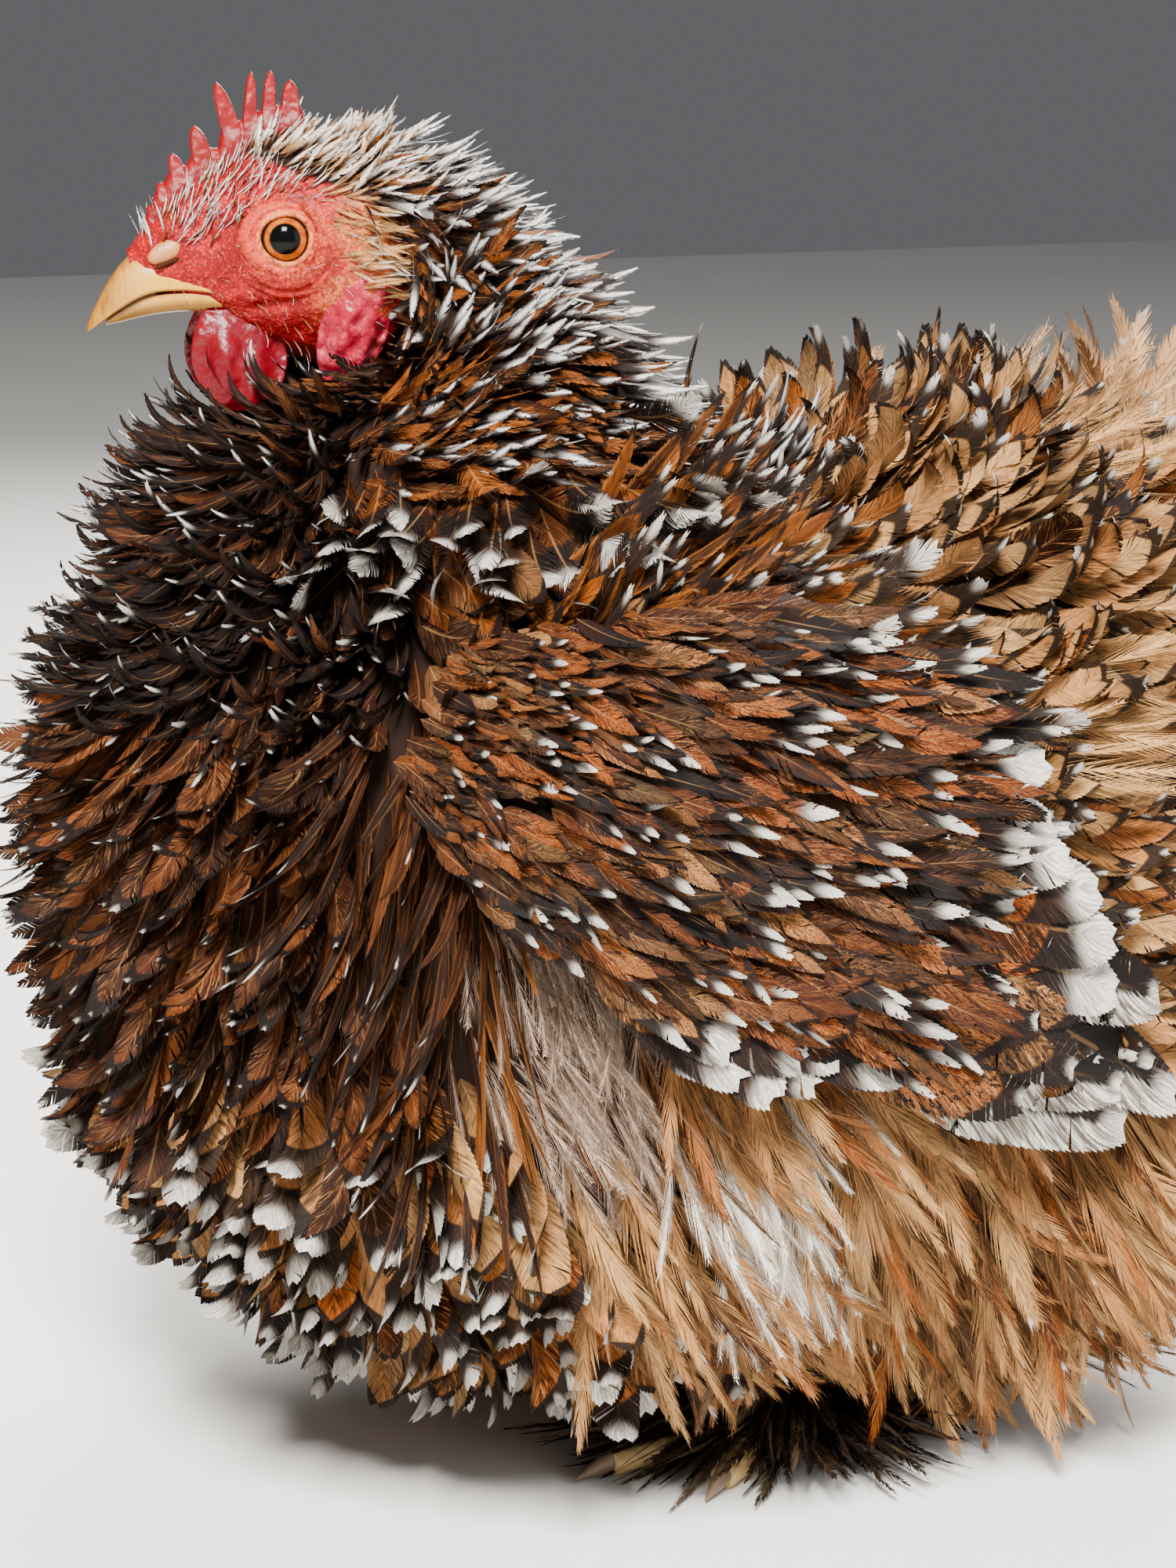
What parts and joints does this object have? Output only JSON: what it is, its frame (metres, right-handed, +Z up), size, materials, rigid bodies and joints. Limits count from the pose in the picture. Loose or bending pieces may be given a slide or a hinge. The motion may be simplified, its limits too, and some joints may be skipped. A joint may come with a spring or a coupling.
{
  "type": "pekin bantam hen model",
  "caption": "Still, life-size model of a ruffled mille fleur pekin bantam hen standing with its head turned a little.",
  "frame": {"origin": "on the floor under the middle of the bird's box", "axes": "-X the way the body faces, -Y the bird's left, +Z up"},
  "size_m": [0.2462, 0.1922, 0.2209],
  "materials": {
    "face_skin": "fine pimpled skin, satin",
    "comb_skin": "moist waxy skin, semi-gloss",
    "beak_horn": "smooth horn, semi-gloss",
    "foot_horn": "scaled horn, satin",
    "eye": "glossy",
    "body_feathers": "feathered, matt with a soft sheen",
    "hackle_feathers": "feathered, matt with a soft sheen",
    "wing_feathers": "feathered, matt with a soft sheen",
    "tail_feathers": "feathered, matt with a soft sheen",
    "foot_feathers": "feathered, matt"
  },
  "bodies": {
    "root": {"torso": "body_feathers", "neck": "hackle_feathers", "head": "face_skin", "comb": "comb_skin", "beak_upper": "beak_horn", "beak_lower": "beak_horn", "tail": "tail_feathers", "wattle_left": "comb_skin", "earlobe_left": "comb_skin", "eye_left": "eye", "wing_left": "wing_feathers", "thigh_left": "foot_feathers", "foot_left": "foot_horn", "claw_left_inner": "beak_horn", "claw_left_middle": "beak_horn", "claw_left_outer": "beak_horn", "claw_left_hind": "beak_horn", "wattle_right": "comb_skin", "earlobe_right": "comb_skin", "eye_right": "eye", "wing_right": "wing_feathers", "thigh_right": "foot_feathers", "foot_right": "foot_horn", "claw_right_inner": "beak_horn", "claw_right_middle": "beak_horn", "claw_right_outer": "beak_horn", "claw_right_hind": "beak_horn"}
  },
  "joints": []
}
